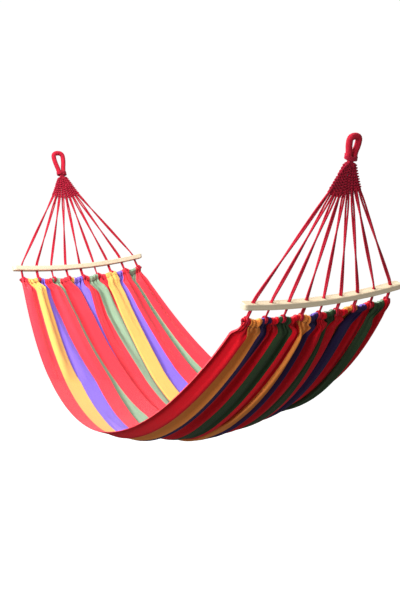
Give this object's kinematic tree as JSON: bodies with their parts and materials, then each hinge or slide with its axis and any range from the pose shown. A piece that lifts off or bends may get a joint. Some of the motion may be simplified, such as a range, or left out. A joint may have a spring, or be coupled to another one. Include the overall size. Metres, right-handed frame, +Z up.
{
  "type": "spreader-bar camping hammock",
  "caption": "Striped cloth hammock bed gathered between two bowed wooden spreader bars, hung by fanned red cords from a rope eye at each end.",
  "frame": {"origin": "left hanging point: the inside top of the left eye loop, where its hook bears", "axes": "+X to the right hanging point along the bed, +Y across the bed, +Z up"},
  "size_m": [2.3014, 0.922, 1.2589],
  "materials": {
    "eye_rope": "matte",
    "whipping_cord": "matte",
    "clew_weave": "matte",
    "nettle_cord": "matte",
    "hem_rope": "matte",
    "bar_wood": "satin",
    "cloth": "matte"
  },
  "bodies": {
    "anchors": {"left_eye_loop": "eye_rope", "left_whipping": "whipping_cord", "right_eye_loop": "eye_rope", "right_whipping": "whipping_cord"},
    "bed": {"left_bed_cloth": "cloth", "right_bed_cloth": "cloth"},
    "left_end": {"left_clew": "clew_weave", "left_spreader_bar": "bar_wood", "left_hem_rope": "hem_rope", "left_hem_casing": "cloth", "left_nettle_1": "nettle_cord", "left_nettle_2": "nettle_cord", "left_nettle_3": "nettle_cord", "left_nettle_4": "nettle_cord", "left_nettle_5": "nettle_cord", "left_nettle_6": "nettle_cord", "left_nettle_7": "nettle_cord", "left_nettle_8": "nettle_cord", "left_nettle_9": "nettle_cord"},
    "right_end": {"right_clew": "clew_weave", "right_spreader_bar": "bar_wood", "right_hem_rope": "hem_rope", "right_hem_casing": "cloth", "right_nettle_1": "nettle_cord", "right_nettle_2": "nettle_cord", "right_nettle_3": "nettle_cord", "right_nettle_4": "nettle_cord", "right_nettle_5": "nettle_cord", "right_nettle_6": "nettle_cord", "right_nettle_7": "nettle_cord", "right_nettle_8": "nettle_cord", "right_nettle_9": "nettle_cord"}
  },
  "joints": [
    {"name": "swing", "type": "hinge", "parent": "anchors", "child": "bed", "pos_m": [0.03523, 0, -0.10842], "axis": [0.9999, 0, 0.0155], "range_deg": [-30, 30]},
    {"name": "left_twist", "type": "hinge", "parent": "bed", "child": "left_end", "pos_m": [0.03523, 0, -0.10842], "axis": [0.3256, 0, -0.9455], "range_deg": [-12, 12]},
    {"name": "right_twist", "type": "hinge", "parent": "bed", "child": "right_end", "pos_m": [2.2459, 0, -0.07418], "axis": [-0.3256, 0, -0.9455], "range_deg": [-12, 12]}
  ]
}
